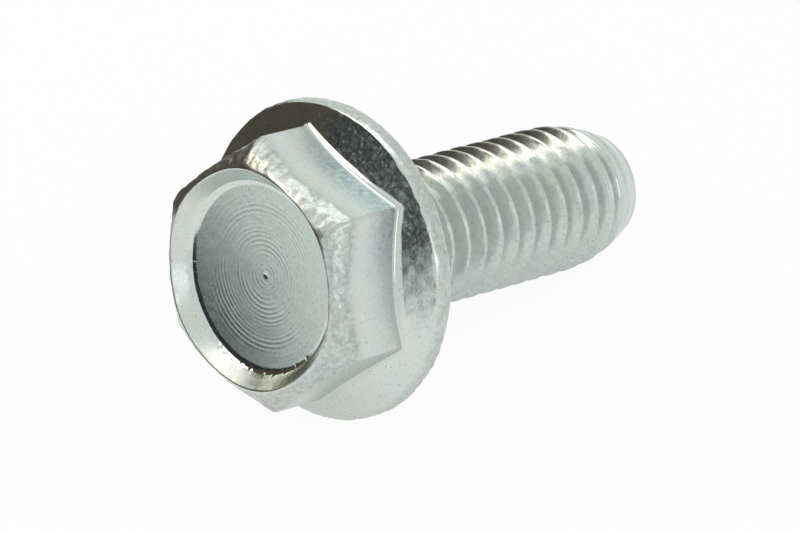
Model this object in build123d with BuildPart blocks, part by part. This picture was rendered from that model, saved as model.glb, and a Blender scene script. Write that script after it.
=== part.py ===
from build123d import *
from math import asin, atan2, cos, degrees, hypot, radians, tan
import os

# Cylinder head bolt: a cold-forged hexagon flange bolt with a dished head and an M8 thread, in millimetres.
# It is one piece of steel. It is built upright, head up, with the flange's bearing face on z = 0 and the
# x axis through the side that lies uppermost. At the end it is laid on its flange and its tapered end.

# Shank, as wide as the crests of its thread
thread_diameter = 8.0
shank_length = 20.5
seat_cone = 0.35           # between the shank and the bearing face, both ways

# Tapered end, which lets the thread find its hole: a slow taper, a steeper nose and an edge round the tip
taper_length = 2.35
taper_drop = 0.3           # on the radius
nose_length = 2.0
nose_drop = 0.75
tip_edge_length = 0.35
tip_edge_drop = 0.45

# Hexagon
across_flats = 12.9
head_height = 6.5          # from the bearing face to the top face
corner_turn = 18.4         # degrees, from the side that lies uppermost to the first corner
upright_edge_radius = 0.3
hexagon_fillet = 0.35      # where the hexagon runs into the flange

# Dish in the top face, with a narrow land round it and a bevel over the corners
lip_width = 0.5            # from the dish to the middle of a flat
dish_depth = 1.15
dish_wall_slope = 36.0     # degrees from the bolt's axis
dish_fillet = 0.6
centre_mark_radius = 0.3
centre_mark_depth = 0.12
land_width = 0.2
bevel_slope = 34.0         # degrees from the top face
bevel_edge_radius = 0.4
lip_chamfer = 0.1          # round the mouth of the dish

# Flange
flange_ledge = 1.15        # how far the flange reaches past the corners of the hexagon
rim_height = 1.2           # of the edge where the rim meets the cone
rim_inset = 0.25           # that edge lies this far inside the rim's widest part
rim_lower_radius = 0.4
rim_upper_radius = 0.2
flange_slope = 26.0        # degrees, the cone from the rim up to the hexagon

# How far a cut reaches past the metal it takes away
overrun = 1.0

# Sizes that follow from these
thread_radius = thread_diameter / 2
nose_radius = thread_radius - taper_drop
tip_edge_start_radius = nose_radius - nose_drop
tip_radius = tip_edge_start_radius - tip_edge_drop
tip_edge_depth = shank_length - tip_edge_length
nose_depth = tip_edge_depth - nose_length
taper_depth = nose_depth - taper_length

flat_distance = across_flats / 2
corner_distance = flat_distance / cos(radians(30))
dish_radius = flat_distance - lip_width
dish_floor_height = head_height - dish_depth
dish_floor_radius = dish_radius - dish_depth * tan(radians(dish_wall_slope))
bevel_top_radius = dish_radius + land_width
bevel_reach = corner_distance + overrun
bevel_foot_height = head_height - (bevel_reach - bevel_top_radius) * tan(radians(bevel_slope))

flange_radius = corner_distance + flange_ledge
cone_radius = flange_radius - rim_inset
cone_inner_radius = flat_distance - 2 * hexagon_fillet
cone_top = rim_height + (cone_radius - cone_inner_radius) * tan(radians(flange_slope))

# The forged head: a hexagon, bevelled over its corners, on a conical flange with a rounded rim
with BuildPart() as head:
    with BuildSketch():
        RegularPolygon(radius=corner_distance, side_count=6, rotation=corner_turn)
    extrude(amount=head_height)
    fillet(head.edges().filter_by(Axis.Z), radius=upright_edge_radius)

    with BuildSketch(Plane.XZ):
        with BuildLine():
            Polyline(
                (bevel_top_radius, head_height),
                (bevel_reach, bevel_foot_height),
                (bevel_reach, head_height + overrun),
                (bevel_top_radius, head_height + overrun),
                close=True,
            )
        make_face()
    revolve(axis=Axis.Z, mode=Mode.SUBTRACT)
    fillet(head.edges().filter_by(GeomType.HYPERBOLA), radius=bevel_edge_radius)

    with BuildSketch(Plane.XZ) as flange_section:
        with BuildLine():
            Polyline(
                (0, 0),
                (flange_radius, 0),
                (flange_radius, rim_height - rim_inset),
                (cone_radius, rim_height),
                (cone_inner_radius, cone_top),
                (0, cone_top),
                close=True,
            )
        make_face()
        rim_corners = flange_section.vertices().sort_by(Axis.X)[-3:].sort_by(Axis.Y)
        fillet(rim_corners[0], radius=rim_lower_radius)
        fillet(rim_corners[1:], radius=rim_upper_radius)
    revolve(axis=Axis.Z)
    fillet(head.edges().filter_by(GeomType.HYPERBOLA), radius=hexagon_fillet)

# The bolt: the shank with its tapered end, joined to the head, with the dish pressed in
with BuildPart() as flange_bolt:
    with BuildSketch(Plane.XZ):
        with BuildLine():
            Polyline(
                (0, 0),
                (thread_radius + seat_cone, 0),
                (thread_radius, -seat_cone),
                (thread_radius, -taper_depth),
                (nose_radius, -nose_depth),
                (tip_edge_start_radius, -tip_edge_depth),
                (tip_radius, -shank_length),
                (0, -shank_length),
                close=True,
            )
        make_face()
    revolve(axis=Axis.Z)
    add(head.part)

    with BuildSketch(Plane.XZ) as dish_section:
        with BuildLine():
            Polyline(
                (0, dish_floor_height - centre_mark_depth),
                (centre_mark_radius, dish_floor_height),
                (dish_floor_radius, dish_floor_height),
                (dish_radius, head_height),
                (dish_radius, head_height + overrun),
                (0, head_height + overrun),
                close=True,
            )
        make_face()
        fillet(dish_section.vertices().group_by(Axis.Y)[1].sort_by(Axis.X)[-1], radius=dish_fillet)
    revolve(axis=Axis.Z, mode=Mode.SUBTRACT)

    chamfer(flange_bolt.faces().sort_by(Axis.Z)[-1].inner_wires().edges(), length=lip_chamfer)

# The bolt at rest touches the surface with its rim's lower edge and with the ridge where the nose begins.
# The surface is the line through that ridge that touches the rim's rounding, in the section through the axis.
contact_span = nose_depth + rim_lower_radius
contact_rise = nose_radius - (flange_radius - rim_lower_radius)
rounding_angle = asin(rim_lower_radius / hypot(contact_span, contact_rise))
rest_tilt = degrees(rounding_angle - atan2(contact_rise, contact_span))
flange_bolt.part.move(Rotation(0, rest_tilt - 90, 0))
footprint = flange_bolt.part.bounding_box()
flange_bolt.part.move(Pos(-footprint.center().X, -footprint.center().Y, -footprint.min.Z))

flange_bolt.part.label = "flange_bolt"
os.makedirs("parts", exist_ok=True)
export_step(flange_bolt.part, "parts/flange_bolt.step")
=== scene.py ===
from math import asin, atan2, cos, hypot, inf, pi, radians, sin, tan

import bpy
import numpy as np
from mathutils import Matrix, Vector, noise


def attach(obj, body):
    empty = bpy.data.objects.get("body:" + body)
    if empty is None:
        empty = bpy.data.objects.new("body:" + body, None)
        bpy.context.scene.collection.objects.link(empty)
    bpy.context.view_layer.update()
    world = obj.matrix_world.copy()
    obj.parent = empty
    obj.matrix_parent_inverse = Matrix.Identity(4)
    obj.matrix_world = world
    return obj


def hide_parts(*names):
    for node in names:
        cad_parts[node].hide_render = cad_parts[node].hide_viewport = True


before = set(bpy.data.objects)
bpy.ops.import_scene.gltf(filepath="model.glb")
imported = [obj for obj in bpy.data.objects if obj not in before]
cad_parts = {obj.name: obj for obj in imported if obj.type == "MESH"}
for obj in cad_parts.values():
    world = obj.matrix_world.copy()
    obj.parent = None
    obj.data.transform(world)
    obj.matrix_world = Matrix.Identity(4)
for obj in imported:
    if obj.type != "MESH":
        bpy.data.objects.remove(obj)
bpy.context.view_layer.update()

# Camera: a long lens on a product shot, looking down past the head and along the shank. It keeps the
# photograph's viewing angle, and the bolt is placed in the frame by the point that the lens looks at.
MM = 0.001
view_from_plus_x = radians(45.95)
view_down = radians(36.19)
view_distance = 421.5 * MM
looked_at = Vector((-4.076, -2.578, 7.810)) * MM

level = cos(view_down)
view_direction = Vector((level * cos(view_from_plus_x), level * sin(view_from_plus_x), -sin(view_down)))
camera_data = bpy.data.cameras.new("product_camera")
camera_data.lens = 360
camera_data.sensor_width = 36
camera_data.clip_start = 10 * MM
camera = bpy.data.objects.new("product_camera", camera_data)
camera.location = looked_at - view_direction * view_distance
camera.rotation_euler = view_direction.to_track_quat("-Z", "Y").to_euler()
bpy.context.scene.collection.objects.link(camera)
bpy.context.scene.camera = camera


# The bolt: one piece of low-carbon steel. The hexagon, the flange and the dish are cold forged from
# wire, and the thread is rolled between flat dies. The finished bolt is tumbled, zinc plated and dipped
# in a clear blue passivate. Sizes are in millimetres, head up, with the bearing face at height 0.
flat_distance = 6.45
corner_distance = flat_distance / cos(radians(30))
corner_turn = radians(18.4)
upright_edge_radius = 0.3
head_height = 6.5


def hexagon(turn):
    """Distance from the axis to a hexagon with rounded upright edges, at each turn round the axis."""
    from_corner = np.abs((turn - corner_turn + pi / 6) % (pi / 3) - pi / 6)
    from_middle = pi / 6 - from_corner
    edge_centre = (flat_distance - upright_edge_radius) / cos(pi / 6)
    edge_end = atan2(upright_edge_radius / 2, edge_centre + upright_edge_radius * cos(pi / 6))
    inside = np.clip(upright_edge_radius**2 - (edge_centre * np.sin(from_corner)) ** 2, 0, None)
    rounded = edge_centre * np.cos(from_corner) + np.sqrt(inside)
    return np.where(from_corner < edge_end, rounded, flat_distance / np.cos(from_middle))


# The points round the head, in degrees from each corner. They lie closer together at the corners, so
# that the upright edges come out crisp.
steps_at_corner = np.linspace(-4.5, 4.5, 19)
steps_on_flat = np.linspace(5.5, 54.5, 47)
head_turns = []
for corner in range(6):
    for step in (*steps_at_corner, *steps_on_flat):
        head_turns.append(corner_turn + radians(60 * corner + step))
head_turns = np.array(sorted(turn % (2 * pi) for turn in head_turns))
hexagon_outline = hexagon(head_turns)

# 1 at the hexagon's corners, 0 at the middle of its flats
at_corner = 0.5 + 0.5 * np.cos(6 * (head_turns - corner_turn))

points, faces = [], []
marks = {name: [] for name in ("tumbled", "turned", "rolled", "forged", "pooled", "burnished")}


def add_ring(turns, radii, heights, **amounts):
    """Adds a ring of points round the axis, with how much each mark of the making and the painted shade
    show there.
    """
    first = len(points)
    radii, heights = np.broadcast_to(radii, turns.shape), np.broadcast_to(heights, turns.shape)
    points.extend(zip(radii * np.cos(turns), radii * np.sin(turns), heights))
    for name, values in marks.items():
        values.extend(np.broadcast_to(amounts.get(name, 0.0), turns.shape))
    return list(range(first, len(points)))


def skin(rings):
    """Quads between each ring and the next, where all have the same turns."""
    for inner, outer in zip(rings, rings[1:]):
        for i in range(len(inner)):
            j = (i + 1) % len(inner)
            faces.append((inner[i], outer[i], outer[j], inner[j]))


def stitch(inner, inner_turns, outer, outer_turns):
    """Triangles between two rings whose points don't pair up."""
    inner_turns = list(inner_turns) + [inner_turns[0] + 2 * pi]
    outer_turns = list(outer_turns) + [outer_turns[0] + 2 * pi]
    inner, outer = inner + inner[:1], outer + outer[:1]
    i = j = 0
    while i < len(inner) - 1 or j < len(outer) - 1:
        inner_next = inner_turns[i + 1] if i < len(inner) - 1 else inf
        outer_next = outer_turns[j + 1] if j < len(outer) - 1 else inf
        if inner_next < outer_next:
            faces.append((inner[i], outer[j], inner[i + 1]))
            i += 1
        else:
            faces.append((inner[i], outer[j], outer[j + 1]))
            j += 1


def round_corner(corner_radius, corner_height, arc_radius, first_way, second_way, steps):
    """Points of the arc that rounds the corner between two straight runs, with their ways in degrees."""
    first = np.array((cos(radians(first_way)), sin(radians(first_way))))
    second = np.array((cos(radians(second_way)), sin(radians(second_way))))
    turn = np.arccos(np.clip(first @ second, -1, 1))
    start = np.array((corner_radius, corner_height)) - first * arc_radius * tan(turn / 2)
    side = 1 if first[0] * second[1] - first[1] * second[0] > 0 else -1
    normal = np.array((-first[1], first[0])) * side
    result = []
    for k in range(steps + 1):
        angle = turn * k / steps
        result.append(start + first * arc_radius * sin(angle) + normal * arc_radius * (1 - cos(angle)))
    return result


# The dish, pressed in by the punch: first its floor, slightly hollow, with the punch's centre mark and
# its turning marks, which wander a little and come and go.
dish_floor_height = 5.50    # where the lines of the floor and the wall cross
dish_floor_slope = 6.5      # degrees, at the floor's edge
dish_wall_lean = 36.0       # degrees from the axis
dish_mouth_radius = 5.86
dish_fillet = 0.5
dish_fillet_steps = 9
centre_mark_radius = 0.17
centre_mark_depth = 0.05
mark_spacing = 0.24
mark_depth = 0.0031
mark_change = 0.45          # by which the depth comes and goes, either way, as a share
mark_wobble = 0.03          # once round
mark_chatter = 0.012        # three times round
mark_drift = 1.2            # by which the spacing comes and goes, in radians
mark_drift_rate = 2.3       # radians for each millimetre of radius
mark_change_rate = 4.1
marks_start = 0.5           # radius from which the marks are full
marks_reach = 4.6           # radius at which they end
marks_fade = 0.4            # over the last of that reach
floor_start = 0.045         # radius of the innermost ring
floor_rings = 110
dish_columns = 168

wall_spread = (head_height - dish_floor_height) * tan(radians(dish_wall_lean))
dish_fillet_arc = round_corner(
    dish_mouth_radius - wall_spread,
    dish_floor_height,
    dish_fillet,
    dish_floor_slope,
    90 - dish_wall_lean,
    dish_fillet_steps,
)
floor_radius, floor_edge_height = dish_fillet_arc[0]
hollow = tan(radians(dish_floor_slope)) / (2 * floor_radius)


def floor_height(radius):
    """Height of the dish's floor, without its turning marks."""
    height = floor_edge_height - hollow * (floor_radius**2 - radius**2)
    return height - centre_mark_depth * max(0, 1 - radius / centre_mark_radius)


dish_turns = np.arange(dish_columns) * 2 * pi / dish_columns
rings = []
for radius in np.linspace(floor_start, floor_radius, floor_rings)[:-1]:
    wobble = mark_wobble * np.sin(dish_turns + radius)
    chatter = mark_chatter * np.sin(3 * dish_turns - 2 * radius)
    drift = mark_drift * sin(mark_drift_rate * radius)
    groove = (0.5 + 0.5 * np.cos(2 * pi * (radius + (wobble + chatter)) / mark_spacing + drift)) ** 2
    shown = np.clip((marks_reach - radius) / marks_fade, 0, 1) * np.clip(radius / marks_start, 0, 1)
    patchy = 1.5 * np.sin(2 * dish_turns + 1.3 * radius)
    change = mark_change * np.sin(mark_change_rate * radius + patchy)
    cut = mark_depth * shown * (1 - mark_change + change) * groove
    rings.append(add_ring(dish_turns, radius, floor_height(radius) - cut, turned=1.0))
centre = add_ring(np.zeros(1), 0.0, floor_height(0.0), turned=1.0)[0]
skin(rings)
for i in range(dish_columns):
    faces.append((centre, rings[0][i], rings[0][(i + 1) % dish_columns]))
floor_edge = rings[-1]

# The dish's fillet, burnished by the punch and crossed by small nicks, its wall, and its mouth, which
# the hexagon's corners pull a little out of round. From here to the seat, the rings follow each other.
nick_count = 15
nick_height = 0.017
nicks_from, nicks_to = 102, 232    # degrees round the axis
nick_scatter = 3                   # degrees either way
wall_shares = (0.35, 0.7, 0.95)    # of the way up the wall
mouth_rounding = 0.12
mouth_steps = 6
mouth_wear = 0.25
mouth_pull = 0.09 * (at_corner - 0.5)

scatter = np.random.default_rng(4).uniform(-nick_scatter, nick_scatter, nick_count)
nick_turns = np.radians(np.linspace(nicks_from, nicks_to, nick_count) + scatter)
nicks = np.zeros(len(head_turns))
nicks[np.searchsorted(head_turns, nick_turns)] = nick_height
rings = []
for step, (radius, height) in enumerate(dish_fillet_arc):
    nicked = nicks if 0 < step < dish_fillet_steps else 0.0
    rings.append(add_ring(head_turns, radius - nicked, height + nicked, burnished=1.0))
mouth_arc = round_corner(
    dish_mouth_radius, head_height, mouth_rounding, 90 - dish_wall_lean, 0, mouth_steps
)
for share in wall_shares:
    radius, height = dish_fillet_arc[-1] * (1 - share) + mouth_arc[0] * share
    rings.append(add_ring(head_turns, radius + mouth_pull * share, height))
for radius, height in mouth_arc:
    rings.append(add_ring(head_turns, radius + mouth_pull, height, tumbled=mouth_wear))
stitch(floor_edge, dish_turns, rings[0], head_turns)

# The top edge, peened round by tumbling: it falls from the dish's mouth to the flats, and further at
# the corners. The peening is full from the fourth ring on, and less again where the flats begin.
flat_top_height = 5.55
corner_drop = 0.62
edge_fullness = 1.35        # 1 is a straight bevel, 2 a quarter of an ellipse
edge_steps = 14
full_wear_step = 4
last_wear = 0.6

crest_radius = mouth_arc[-1][0] + mouth_pull
flat_top = flat_top_height - corner_drop * at_corner
for k in range(1, edge_steps + 1):
    angle = k / edge_steps * pi / 2
    out = sin(angle) ** (2 / edge_fullness)
    down = 1 - cos(angle) ** (2 / edge_fullness)
    radius = crest_radius + (hexagon_outline - crest_radius) * out
    height = head_height - (head_height - flat_top) * down
    worn = min(1.0, k / full_wear_step) if k < edge_steps - 1 else last_wear
    rings.append(add_ring(head_turns, radius, height, tumbled=worn))

# The flats, and the fillet that runs them into the flange's cone. A painted shade darkens their foot,
# most on one side of the head.
cone_degrees = 26
cone_slope = radians(cone_degrees)
cone_edge_radius = 8.35
rim_height = 1.2
foot_fillet = 0.46
foot_ripple = 0.010
foot_steps = 12
flat_rings = 12
flat_wear = 0.35            # at the top of the flats
flat_wear_fall = 5          # gone a fifth of the way down
foot_shade_height = 2.0
foot_shade_fullness = 1.5         # over 1, so that the painted shade is even at its foot
fillet_shade = 0.5
darkest_shade_turn = radians(-25)
shade_fade_width = radians(30)
shade_fade_reach = 1.6            # in widths of the fade
least_shade = 0.2            # away from the darkest side


def cone_height(radius):
    """Height of the flange's cone, which falls from the hexagon to the rim."""
    return rim_height + (cone_edge_radius - radius) * tan(cone_slope)


# The painted shade is darkest at one turn round the head and fades away from it.
from_darkest_shade = np.abs((head_turns - darkest_shade_turn + pi) % (2 * pi) - pi)
shade_round_head = least_shade + (1 - least_shade) * np.clip(shade_fade_reach - from_darkest_shade / shade_fade_width, 0, 1)
fillet_centre_radius = hexagon_outline + foot_fillet
fillet_centre_height = cone_height(fillet_centre_radius) + foot_fillet / cos(cone_slope)
for share in np.linspace(0.06, 1, flat_rings):
    height = flat_top * (1 - share) + fillet_centre_height * share
    under_shade = foot_shade_fullness * (fillet_centre_height + foot_shade_height - height) / foot_shade_height
    pool = shade_round_head * np.clip(under_shade, 0, 1)
    worn = flat_wear * max(0, 1 - flat_wear_fall * share)
    rings.append(add_ring(head_turns, hexagon_outline, height, tumbled=worn, pooled=pool))
# The painted shade runs on down the foot fillet and fades out.
for k in range(1, foot_steps + 1):
    angle = (pi / 2 - cone_slope) * k / foot_steps
    arc_radius = foot_fillet + foot_ripple * sin(2 * pi * k / foot_steps)
    radius = fillet_centre_radius - arc_radius * cos(angle)
    height = fillet_centre_height - arc_radius * sin(angle)
    pool = shade_round_head * (fillet_shade - fillet_shade * k / foot_steps)
    rings.append(add_ring(head_turns, radius, height, pooled=pool, burnished=1.0))
cone_start = fillet_centre_radius - foot_fillet * sin(cone_slope)

# The flange's cone and its rim, which the die leaves free to spread, so that its edge is a little
# uneven and matt. A narrow shoulder joins the cone to the rim's upright side.
flange_ledge = 1.15         # past the corners of the hexagon
flange_radius = corner_distance + flange_ledge
cone_rings = 16
shoulder_width = 0.12
shoulder_degrees = 62
rim_upper_radius = 0.2
rim_shoulder_radius = 0.15
rim_lower_radius = 0.4
upper_steps, lower_steps = 4, 8
upper_wear, upper_gloss = 0.2, 0.6
rim_wear = 0.8

shoulder_start = flange_radius - shoulder_width
shoulder_top = cone_height(shoulder_start)
shoulder_foot = shoulder_top - shoulder_width * tan(radians(shoulder_degrees))
rim_upper = round_corner(
    shoulder_start, shoulder_top, rim_upper_radius, -cone_degrees, -shoulder_degrees, upper_steps
)
rim_shoulder = round_corner(
    flange_radius, shoulder_foot, rim_shoulder_radius, -shoulder_degrees, -90, upper_steps
)
rim_lower = round_corner(flange_radius, 0, rim_lower_radius, -90, -180, lower_steps)
for share in np.linspace(0.07, 1, cone_rings):
    radius = cone_start * (1 - share) + rim_upper[0][0] * share
    rings.append(add_ring(head_turns, radius, cone_height(radius), forged=1.0))
for radius, height in rim_upper[1:]:
    rings.append(add_ring(head_turns, radius, height, tumbled=upper_wear, burnished=upper_gloss))
for radius, height in rim_shoulder + rim_lower:
    rings.append(add_ring(head_turns, radius, height, tumbled=rim_wear))

# The bearing face under the flange, and the fillet up to the shank.
thread_radius = 4.0
seat_fillet = 0.4
seat_steps = 6
for radius in np.linspace(rim_lower[-1][0], thread_radius + seat_fillet, 5)[1:]:
    rings.append(add_ring(head_turns, radius, 0.0))
for k in range(1, seat_steps + 1):
    angle = k / seat_steps * pi / 2
    radius = thread_radius + seat_fillet * (1 - sin(angle))
    rings.append(add_ring(head_turns, radius, -seat_fillet * (1 - cos(angle)), rolled=1.0))
skin(rings)

# The thread, rolled between dies: the metal flows up into rounded crests. It fades in below the plain
# length under the head and runs out on the rounded end of the blank.
pitch = 1.25
shank_length = 20.5
plain_length = 1.6
fade_in_turns = 1.4
root_radius = 3.233
root_half, crest_half = 1 / 10, 1 / 36    # of a pitch
flank_softness = 0.10       # rounds the root and the crest, as a share of the thread's height
root_level = -1 / 6         # where the softened root is set to 0
crest_rise = 0.02           # makes up for what rounding takes off the crest
end_length = 4.7
end_drop = 1.3
end_softness = 0.05
run_out_end = 19.35         # under the bearing face
run_out_length = 0.8
groove_at_zero_turn = -shank_length - 0.75 * pitch    # a height past the end, from which the turns count
end_arc_radius = (end_length**2 + end_drop**2) / (2 * end_drop)


def end_envelope(height):
    """Radius of the blank, which is plain along the shank and rounded off towards its end."""
    into_end = np.clip(-height - (shank_length - end_length), 0, end_length)
    return thread_radius - end_arc_radius + np.sqrt(end_arc_radius**2 - into_end**2)


def softened(value, softness):
    """The value where it is over 0, running smoothly into 0 below that."""
    return 0.5 * (value + np.sqrt(value**2 + softness**2))


def eased(share):
    """A share from 0 to 1 that starts and stops gently."""
    return share * share * (3 - 2 * share)


def thread_surface(turn, height):
    """Radius of the rolled thread at a turn and a height."""
    phase = ((height - groove_at_zero_turn) / pitch - turn / (2 * pi)) % 1.0
    from_root = np.minimum(phase, 1 - phase)
    climb = (from_root - root_half) / (0.5 - root_half - crest_half)
    climb = softened(climb, flank_softness) - softened(root_level, flank_softness)
    climb = 1 - softened(1 - climb, flank_softness)
    radius = root_radius + (thread_radius + crest_rise - root_radius) * climb

    rolled_in = eased(np.clip((-height - plain_length) / (fade_in_turns * pitch), 0, 1))
    radius = thread_radius - (thread_radius - radius) * rolled_in

    blank = end_envelope(height)
    radius = 0.5 * (radius + blank - np.sqrt((radius - blank) ** 2 + end_softness**2))
    return blank - (blank - radius) * eased(np.clip((run_out_end + height) / run_out_length, 0, 1))


# The plain neck above the first turn, and the rounded end below the last one, which closes the bolt
# with a rounded edge and a flat face.
neck_start = -seat_fillet - 0.1
neck_height = -1.55
end_height = -19.45
tip_edge = 0.45
tip_edge_widening = 1.1     # the edge's width over its height
tip_edge_turn = radians(72)
tip_edge_steps = 8
tip_face_radii = (1.7, 0.9, 0.3)
columns = 120

shank_turns = np.arange(columns) * 2 * pi / columns
neck_rings = []
for share in np.linspace(0, 1, 4):
    height = neck_start * (1 - share) + neck_height * share
    radii = thread_radius * (1 - share) + thread_surface(shank_turns, height) * share
    neck_rings.append(add_ring(shank_turns, radii, height, rolled=1.0))
stitch(rings[-1], head_turns, neck_rings[0], shank_turns)
skin(neck_rings)
last_height = -shank_length + tip_edge
end_rings = []
for height in np.linspace(end_height, last_height, 6):
    end_rings.append(add_ring(shank_turns, end_envelope(height), height, rolled=1.0))
tip_radius = float(end_envelope(last_height))
for k in range(1, tip_edge_steps + 1):
    angle = k / tip_edge_steps * tip_edge_turn
    radius = tip_radius - tip_edge * (1 - cos(angle)) * tip_edge_widening
    height = last_height - tip_edge * sin(angle) / sin(tip_edge_turn)
    end_rings.append(add_ring(shank_turns, radius, height, rolled=1.0))
for radius in tip_face_radii:
    end_rings.append(add_ring(shank_turns, radius, -shank_length, rolled=1.0))
skin(end_rings)
tip = add_ring(np.zeros(1), 0.0, -shank_length, rolled=1.0)[0]
for i in range(columns):
    faces.append((end_rings[-1][i], tip, end_rings[-1][(i + 1) % columns]))

# The thread between them. Its rows of points follow the helix, closest together at the crests, and a
# row that would pass the neck or the end stops on their rings.
half_pitch = [0, 0.05, 0.1, 0.16, 0.23, 0.3, 0.36, 0.4, 0.43, 0.455, 0.478]    # from a root to a crest
across_pitch = np.array(half_pitch + [0.5] + [1 - share for share in half_pitch[:0:-1]])
crest_wear = 0.5
crest_wear_from = 3.86
crest_wear_full = 0.12      # above that radius

rows_per_turn = len(across_pitch)
first_height = groove_at_zero_turn + pitch * np.ceil((neck_height - groove_at_zero_turn) / pitch)
row_count = rows_per_turn * int(np.ceil((first_height + pitch - end_height) / pitch))
grid = []
for row in range(row_count + 1):
    lead_height = first_height - pitch * (row // rows_per_turn + across_pitch[row % rows_per_turn])
    heights = lead_height + pitch * shank_turns / (2 * pi)
    radii = thread_surface(shank_turns, heights)
    worn = crest_wear * np.clip((radii - crest_wear_from) / crest_wear_full, 0, 1)
    on_thread = (heights < neck_height) & (heights > end_height)
    ring = np.where(heights >= neck_height, neck_rings[-1], end_rings[0])
    ring[on_thread] = add_ring(
        shank_turns[on_thread],
        radii[on_thread],
        heights[on_thread],
        rolled=1.0,
        tumbled=worn[on_thread],
    )
    grid.append(ring.tolist())


def add_patch(*corners):
    """A face of the thread, without the corners that fall together where a row ends on a ring."""
    corners = tuple(dict.fromkeys(corners))
    if len(corners) > 2:
        faces.append(corners)


for row in range(row_count):
    for i in range(columns - 1):
        add_patch(grid[row][i], grid[row + 1][i], grid[row + 1][i + 1], grid[row][i + 1])
    below = row + rows_per_turn
    if below < row_count:
        add_patch(grid[below][-1], grid[below + 1][-1], grid[row + 1][0], grid[row][0])

bolt_mesh = bpy.data.meshes.new("flange_bolt_surface")
bolt_mesh.from_pydata(points, [], faces)
bolt_mesh.update()


def waves(place, height, length):
    """Smooth unevenness of a height and a length in millimetres."""
    return height * noise.noise(place / length)


def bowls(place, depth, width):
    """Shallow bowls knocked in side by side, with ridges between them."""
    return depth * (min(1.0, 2.2 * noise.voronoi(place / width)[0][0] ** 2) - 0.5)


# The tumbling barrel knocks every edge against other bolts, so the top edge and the rim are peened all
# over, and the crests of the thread are nicked. The flats are a little wavy from the die, and the cone
# and the thread keep the grain of theirs.
normals = np.empty(3 * len(points), dtype=np.float32)
bolt_mesh.vertex_normals.foreach_get("vector", normals)
normals = normals.reshape(-1, 3)
bowls_start = Vector((7, 3, 1))
for i, point in enumerate(points):
    place = Vector(point)
    lift = waves(place, height=0.005, length=2.6) + waves(place, height=0.0010, length=0.5)
    hit = marks["tumbled"][i]
    if hit > 0:
        knocks = waves(place, height=0.030, length=1.3) + waves(place, height=0.028, length=0.34)
        lift += hit * knocks
        lift += hit * bowls(place + bowls_start, depth=0.040, width=0.50)
    if marks["forged"][i] > 0:
        lift += waves(place, height=0.007, length=0.6)
    if marks["rolled"][i] > 0:
        lift += waves(place, height=0.012, length=0.6)
    points[i] = np.array(point) + normals[i] * lift

# The bolt lies as the CAD solid does, on the lower edge of its rim and on the ridge where the nose of
# the solid's end begins. Its bearing face stands back from the middle of the bolt's footprint.
ridge_radius = 3.7
ridge_depth = 18.15
seat_forward = -6.300

contact_span = ridge_depth + rim_lower_radius
edge_centre_radius = flange_radius - rim_lower_radius
contact_rise = ridge_radius - edge_centre_radius
rounding_angle = asin(rim_lower_radius / hypot(contact_span, contact_rise))
rest_tilt = rounding_angle - atan2(contact_rise, contact_span)
seat_height = edge_centre_radius * cos(rest_tilt) - rim_lower_radius * sin(rest_tilt) + rim_lower_radius
x, y, z = np.array(points).T
laid_down = np.array(
    (
        x * sin(rest_tilt) - z * cos(rest_tilt) + seat_forward,
        y,
        x * cos(rest_tilt) + z * sin(rest_tilt) + seat_height,
    )
)
bolt_mesh.vertices.foreach_set("co", (laid_down.T * MM).ravel())
bolt_mesh.update()
for name, values in marks.items():
    layer = bolt_mesh.attributes.new(name, "FLOAT", "POINT")
    layer.data.foreach_set("value", np.array(values, dtype=np.float32))
bolt_mesh.shade_smooth()
bolt = bpy.data.objects.new("flange_bolt_piece", bolt_mesh)
bpy.context.scene.collection.objects.link(bolt)


def hex_colour(text):
    """An sRGB hex value as linear red, green, blue and alpha."""
    channels = [int(text[i : i + 2], 16) / 255 for i in (1, 3, 5)]
    return tuple(c / 12.92 if c <= 0.04045 else ((c + 0.055) / 1.055) ** 2.4 for c in channels) + (1.0,)


def add_node(tree, kind, settings=(), links=()):
    """Adds a node, sets its properties and sockets, and links its sockets to other nodes' outputs."""
    node = tree.nodes.new(kind)
    for key, value in dict(settings).items():
        if isinstance(key, str) and hasattr(node, key):
            setattr(node, key, value)
        else:
            node.inputs[key].default_value = value
    for key, output in dict(links).items():
        tree.links.new(output, node.inputs[key])
    return node


# Bright zinc plate with a clear blue passivate: a satin, slightly milky metal whose thin film gives it
# faint blue, green and straw-coloured patches. A dark blue-grey shade is painted at the foot of the
# flats. The peened edges scatter more light, and the cone, the dish and the thread keep the gloss of
# their tools.
zinc_plate = bpy.data.materials.new("zinc_plate_clear_passivate")
zinc_plate.use_nodes = True
tree = zinc_plate.node_tree
tree.nodes.clear()
where = add_node(tree, "ShaderNodeTexCoord").outputs["Object"]
shows = {}
for name in marks:
    shows[name] = add_node(tree, "ShaderNodeAttribute", {"attribute_name": name}).outputs["Fac"]

# The patterns in the plate, each with the size of its patches in millimetres: the film in two
# thicknesses, the mottling of worn places, pits, the change in sheen, and the plate's grain. The grain
# is drawn at 0.18 mm because the real one is too fine to show.
patterns = {}
for name, size, detail, harshness in (
    ("blue_film", 3.1, 2.0, 0.5),
    ("straw_film", 2.2, 2.0, 0.5),
    ("mottle", 0.30, 5.0, 0.65),
    ("pits", 0.12, 1.0, 0.5),
    ("sheen", 0.22, 4.0, 0.6),
    ("grain", 0.18, 3.0, 0.5),
):
    patterns[name] = add_node(
        tree,
        "ShaderNodeTexNoise",
        {"Scale": 1 / (size * MM), "Detail": detail, "Roughness": harshness},
        {"Vector": where},
    ).outputs["Fac"]

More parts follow.
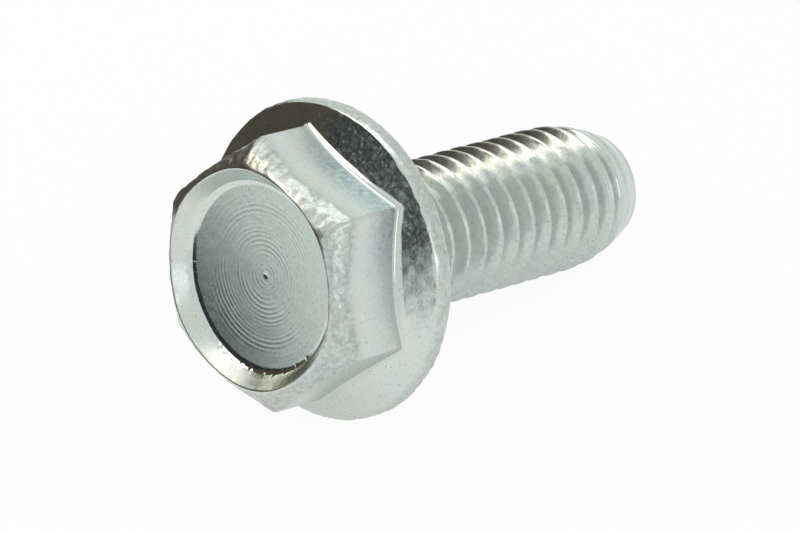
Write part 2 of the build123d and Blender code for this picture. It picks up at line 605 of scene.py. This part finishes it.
# How much of each comes through, from where the pattern is weak to where it is strong.
levels = {}
for name, pattern, weak, strong, least, most in (
    ("bluish", "blue_film", 0.42, 0.70, 0.0, 0.6),
    ("straw", "straw_film", 0.48, 0.72, 0.0, 0.5),
    ("uneven_foot_shade", "mottle", 0.35, 0.65, 0.35, 0.9),
    ("mottling", "mottle", 0.35, 0.68, 0.0, 1.0),
    ("pits", "pits", 0.34, 0.26, 0.0, 0.6),
    ("roughness", "sheen", 0.3, 0.7, 0.25, 0.33),
    ("cone_flecks", "sheen", 0.45, 0.80, -0.12, -0.02),
):
    levels[name] = add_node(
        tree,
        "ShaderNodeMapRange",
        {"From Min": weak, "From Max": strong, "To Min": least, "To Max": most},
        {"Value": patterns[pattern]},
    ).outputs["Result"]

# Painted shade: the dish's floor and, more weakly, the thread are tinted a cooler, darker grey-green.
# The painted shade at the foot of the flats is uneven, and the edges and, more weakly, the thread are
# mottled with grey.
thread_cool_shade = add_node(
    tree, "ShaderNodeMath", {"operation": "MULTIPLY", 1: 0.15}, {0: shows["rolled"]}
)
cool_shade_share = add_node(
    tree,
    "ShaderNodeMath",
    {"operation": "MULTIPLY_ADD", 1: 0.60},
    {0: shows["turned"], 2: thread_cool_shade.outputs[0]},
)
# Painted shade at the foot of the flats, made uneven by the mottle pattern.
foot_shade_share = add_node(
    tree, "ShaderNodeMath", {"operation": "MULTIPLY"}, {0: shows["pooled"], 1: levels["uneven_foot_shade"]}
)
mottled_places = add_node(
    tree,
    "ShaderNodeMath",
    {"operation": "MULTIPLY_ADD", 1: 0.30},
    {0: shows["rolled"], 2: shows["tumbled"]},
)
grey_share = add_node(
    tree,
    "ShaderNodeMath",
    {"operation": "MULTIPLY"},
    {0: mottled_places.outputs[0], 1: levels["mottling"]},
)
colour = add_node(
    tree,
    "ShaderNodeMix",
    {"data_type": "RGBA", "A": hex_colour("#d4dad5"), "B": hex_colour("#cbd8da")},
    {"Factor": levels["bluish"]},
)
for tint, share in (
    ("#d9d9cd", levels["straw"]),
    # painted cooler, darker shade in the dish and on the thread
    ("#bccbc6", cool_shade_share.outputs[0]),
    # painted shade at the foot of the flats
    ("#8299a3", foot_shade_share.outputs[0]),
    ("#a9aeab", grey_share.outputs[0]),
    ("#8c918d", levels["pits"]),
):
    colour = add_node(
        tree,
        "ShaderNodeMix",
        {"data_type": "RGBA", "B": hex_colour(tint)},
        {"Factor": share, "A": colour.outputs["Result"]},
    )

# Each mark of the making changes the roughness and the depth of the grain. The cone's gloss has flecks.
roughness = add_node(
    tree,
    "ShaderNodeMath",
    {"operation": "MULTIPLY_ADD"},
    {0: shows["forged"], 1: levels["cone_flecks"], 2: levels["roughness"]},
)
for name, change in (("tumbled", 0.02), ("rolled", -0.08), ("turned", -0.08), ("burnished", -0.16)):
    roughness = add_node(
        tree,
        "ShaderNodeMath",
        {"operation": "MULTIPLY_ADD", 1: change},
        {0: shows[name], 2: roughness.outputs[0]},
    )
grain_depth = add_node(
    tree, "ShaderNodeMath", {"operation": "MULTIPLY_ADD", 1: 1.5, 2: 0.12}, {0: shows["tumbled"]}
)
for name, change in (("forged", 0.12), ("rolled", 0.22), ("turned", -0.04)):
    grain_depth = add_node(
        tree,
        "ShaderNodeMath",
        {"operation": "MULTIPLY_ADD", 1: change},
        {0: shows[name], 2: grain_depth.outputs[0]},
    )
relief = add_node(
    tree,
    "ShaderNodeBump",
    {"Distance": 0.011 * MM},
    {"Height": patterns["grain"], "Strength": grain_depth.outputs[0]},
)
plate = add_node(
    tree,
    "ShaderNodeBsdfPrincipled",
    {"Metallic": 1.0},
    {
        "Base Color": colour.outputs["Result"],
        "Roughness": roughness.outputs[0],
        "Normal": relief.outputs["Normal"],
    },
)
add_node(tree, "ShaderNodeOutputMaterial", links={"Surface": plate.outputs[0]})
bolt_mesh.materials.append(zinc_plate)

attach(bolt, "root")
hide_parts("flange_bolt")

# Floor: a sheet of white card under the bolt. It looks plain white to the camera but for the bolt's
# soft shadow, and the bright metal mirrors it a little darker than that.
floor_reach = 600 * MM
white_to_camera = 0.94
white_in_metal = 0.6

floor_mesh = bpy.data.meshes.new("white_card")
floor_corners = [
    (-floor_reach, -floor_reach, 0),
    (floor_reach, -floor_reach, 0),
    (floor_reach, floor_reach, 0),
    (-floor_reach, floor_reach, 0),
]
floor_mesh.from_pydata(floor_corners, [], [(0, 1, 2, 3)])
floor = bpy.data.objects.new("white_card", floor_mesh)
bpy.context.scene.collection.objects.link(floor)

# Matt white card, which gives an even ground with no gloss of its own.
white_card = bpy.data.materials.new("white_card")
white_card.use_nodes = True
tree = white_card.node_tree
tree.nodes.clear()
matt = add_node(tree, "ShaderNodeBsdfDiffuse", {"Color": hex_colour("#f4f4f4")})
glow = add_node(tree, "ShaderNodeEmission", {"Color": hex_colour("#ffffff"), "Strength": 1.0})
ray = add_node(tree, "ShaderNodeLightPath")
mirrored = add_node(
    tree,
    "ShaderNodeMath",
    {"operation": "MAXIMUM"},
    {0: ray.outputs["Is Glossy Ray"], 1: ray.outputs["Is Transmission Ray"]},
)
white_mirrored = add_node(
    tree, "ShaderNodeMath", {"operation": "MULTIPLY", 1: white_in_metal}, {0: mirrored.outputs[0]}
)
white = add_node(
    tree,
    "ShaderNodeMath",
    {"operation": "MULTIPLY_ADD", 1: white_to_camera},
    {0: ray.outputs["Is Camera Ray"], 2: white_mirrored.outputs[0]},
)
seen = add_node(
    tree, "ShaderNodeMixShader", links={0: white.outputs[0], 1: matt.outputs[0], 2: glow.outputs[0]}
)
add_node(tree, "ShaderNodeOutputMaterial", links={"Surface": seen.outputs[0]})
floor_mesh.materials.append(white_card)

# Light: a bright room, a long soft lamp high on the left, one overhead, a weak warm one behind the bolt,
# a narrow one on the right of the camera, and a dark card that stands on the floor left of the bolt.
# The card gives the bright metal something dark to mirror.
world = bpy.data.worlds.new("bright_room")
bpy.context.scene.world = world
world.use_nodes = True
tree = world.node_tree
tree.nodes.clear()
room = add_node(tree, "ShaderNodeBackground", {"Color": hex_colour("#fbfffe"), "Strength": 0.85})
add_node(tree, "ShaderNodeOutputWorld", links={"Surface": room.outputs[0]})

head_middle = Vector((-9, 0, 9)) * MM


def seen_from_head(azimuth, elevation, distance):
    """The place in a direction and at a distance in metres from the head."""
    azimuth, elevation = radians(azimuth), radians(elevation)
    way = Vector((cos(elevation) * cos(azimuth), cos(elevation) * sin(azimuth), sin(elevation)))
    return head_middle + way * distance


def add_lamp(name, azimuth, elevation, distance, width, height, brightness, colour):
    """A rectangular soft lamp turned to the head. Its brightness is 1 where the lamp looks white."""
    lamp_data = bpy.data.lights.new(name, "AREA")
    lamp_data.shape = "RECTANGLE"
    lamp_data.size, lamp_data.size_y = width, height
    lamp_data.energy = brightness * pi * width * height
    lamp_data.color = hex_colour(colour)[:3]
    lamp = bpy.data.objects.new(name, lamp_data)
    lamp.location = seen_from_head(azimuth, elevation, distance)
    lamp.rotation_euler = (head_middle - lamp.location).to_track_quat("-Z", "Y").to_euler()
    bpy.context.scene.collection.objects.link(lamp)


# Azimuth and elevation in degrees, then distance, width and height in metres, brightness and colour
add_lamp("long_lamp", 128, 54, 0.30, 0.19, 0.095, 2.8, "#ffecd2")
add_lamp("overhead_lamp", 50, 76, 0.30, 0.20, 0.14, 1.0, "#ffffff")
add_lamp("side_lamp", 28, 24, 0.40, 0.10, 0.24, 0.12, "#ffe6b8")
add_lamp("narrow_lamp", -108, 24, 0.40, 0.05, 0.20, 1.7, "#ffffff")

# The dark card in steps of 5 degrees round the head, each a lying strip and a standing one. The lying
# strips come nearer to the bolt on its left, and the standing ones are lower at both ends. Both numbers
# of each pair are given at a few azimuths, with straight runs between them.
card_azimuths = range(60, 196, 5)
card_distance = 90 * MM
card_floor = 0.3 * MM
near_azimuths, near_distances = (82, 115, 135, 160), (20, 39, 39, 48)    # in millimetres
top_azimuths, top_angles = (70.8, 96, 165, 190), (4.3, 43, 43, 28)       # in degrees
slate_from = 130            # degrees, where the card turns from brown to slate

card_points = []
for azimuth in card_azimuths:
    near = np.interp(azimuth, near_azimuths, near_distances) * MM
    top = head_middle.z + card_distance * tan(radians(np.interp(azimuth, top_azimuths, top_angles)))
    for distance, height in ((near, card_floor), (card_distance, card_floor), (card_distance, top)):
        foot = seen_from_head(azimuth, 0, distance)
        card_points.append((foot.x, foot.y, height))
card_faces = []
for k in range(0, len(card_points) - 3, 3):
    card_faces += [(k, k + 3, k + 4, k + 1), (k + 1, k + 4, k + 5, k + 2)]
card_mesh = bpy.data.meshes.new("dark_card")
card_mesh.from_pydata(card_points, [], card_faces)
card = bpy.data.objects.new("dark_card", card_mesh)
bpy.context.scene.collection.objects.link(card)
card.visible_camera = card.visible_diffuse = card.visible_shadow = False

# Matt dyed card: brown, then slate, so that the dark reflections are warmer on one side.
for name, shade in (("brown_card", "#585046"), ("slate_card", "#353b40")):
    card_side = bpy.data.materials.new(name)
    card_side.use_nodes = True
    tree = card_side.node_tree
    tree.nodes.clear()
    matt = add_node(tree, "ShaderNodeBsdfDiffuse", {"Color": hex_colour(shade)})
    add_node(tree, "ShaderNodeOutputMaterial", links={"Surface": matt.outputs[0]})
    card_mesh.materials.append(card_side)
for strip, polygon in enumerate(card_mesh.polygons):
    polygon.material_index = 1 if card_azimuths[strip // 2] >= slate_from else 0

bpy.context.scene.view_settings.view_transform = "Standard"
